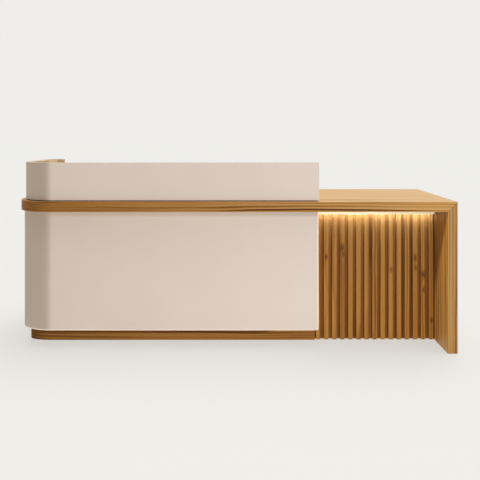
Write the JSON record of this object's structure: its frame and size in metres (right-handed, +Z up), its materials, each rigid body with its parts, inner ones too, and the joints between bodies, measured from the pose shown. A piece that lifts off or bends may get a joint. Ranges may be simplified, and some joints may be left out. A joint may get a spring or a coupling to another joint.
{
  "type": "reception desk",
  "caption": "Reception desk: curved lacquered body and riser, oak waterfall counter over a lit slatted panel, drawers and cupboard on the staff side.",
  "frame": {"origin": "on the floor, under the centre of the desk's bounding box", "axes": "+X to the visitor's right along the counter, +Y from the visitor's side to the staff side, +Z up"},
  "size_m": [2.206, 0.7, 0.942],
  "materials": {
    "oak": "satin oiled oak, long grain",
    "dark_oak": "stained board",
    "lacquer": "satin warm beige lacquer on board",
    "laminate": "matt melamine",
    "birch": "clear lacquered birch ply",
    "steel": "zinc plated",
    "bronze": "brushed bronze",
    "aluminium": "anodised",
    "led_board": "white circuit strip",
    "opal": "opal, lit from behind",
    "white_plastic": "matt",
    "black_plastic": "matt",
    "black_trim": "matt"
  },
  "bodies": {
    "desk": {"counter_top": "oak", "end_leg": "oak", "plinth_front": "oak", "plinth_rear": "oak", "slat_01": "oak", "slat_02": "oak", "slat_03": "oak", "slat_04": "oak", "slat_05": "oak", "slat_06": "oak", "slat_07": "oak", "slat_08": "oak", "slat_09": "oak", "slat_10": "oak", "slat_11": "oak", "slat_12": "oak", "slat_13": "oak", "slat_14": "oak", "slat_15": "oak", "riser_shell": "lacquer", "body_shell": "lacquer", "centre_gable": "lacquer", "base_deck": "laminate", "gable_left": "laminate", "gable_middle": "laminate", "gable_right": "laminate", "cupboard_shelf": "laminate", "leg_bracket_front": "steel", "leg_bracket_rear": "steel", "top_drawer_runner_left": "steel", "top_drawer_runner_right": "steel", "middle_drawer_runner_left": "steel", "middle_drawer_runner_right": "steel", "file_drawer_runner_left": "steel", "file_drawer_runner_right": "steel", "slat_backing": "dark_oak", "riser_base_strip": "black_trim", "led_channel": "aluminium", "led_strip": "led_board", "led_diffuser": "opal", "led_driver": "white_plastic", "led_lead": "white_plastic", "switch_lead": "white_plastic", "switch_housing": "black_plastic"},
    "top_drawer": {"top_drawer_front": "lacquer", "top_drawer_box": "birch", "top_drawer_pull": "bronze"},
    "middle_drawer": {"middle_drawer_front": "lacquer", "middle_drawer_box": "birch", "middle_drawer_pull": "bronze"},
    "file_drawer": {"file_drawer_front": "lacquer", "file_drawer_box": "birch", "file_drawer_pull": "bronze"},
    "lock": {"lock_barrel": "steel"},
    "door": {"door_panel": "lacquer", "door_pull": "bronze", "door_pivot_top": "steel", "door_pivot_bottom": "steel"},
    "rocker": {"switch_rocker": "black_plastic"}
  },
  "joints": [
    {"name": "top_drawer_slide", "type": "slide", "parent": "desk", "child": "top_drawer", "axis": [0, 1, 0], "range_m": [0, 0.33]},
    {"name": "middle_drawer_slide", "type": "slide", "parent": "desk", "child": "middle_drawer", "axis": [0, 1, 0], "range_m": [0, 0.33]},
    {"name": "file_drawer_slide", "type": "slide", "parent": "desk", "child": "file_drawer", "axis": [0, 1, 0], "range_m": [0, 0.33]},
    {"name": "lock_turn", "type": "hinge", "parent": "top_drawer", "child": "lock", "pos_m": [-1.027, 0.315, 0.682], "axis": [0, 1, 0], "range_deg": [0, 90]},
    {"name": "door_swing", "type": "hinge", "parent": "desk", "child": "door", "pos_m": [-0.204, 0.315, 0.406], "axis": [0, 0, -1], "range_deg": [0, 110]},
    {"name": "switch_rock", "type": "hinge", "parent": "desk", "child": "rocker", "pos_m": [0.62, 0.314, 0.687], "axis": [-1, 0, 0], "range_deg": [0, 16]}
  ]
}
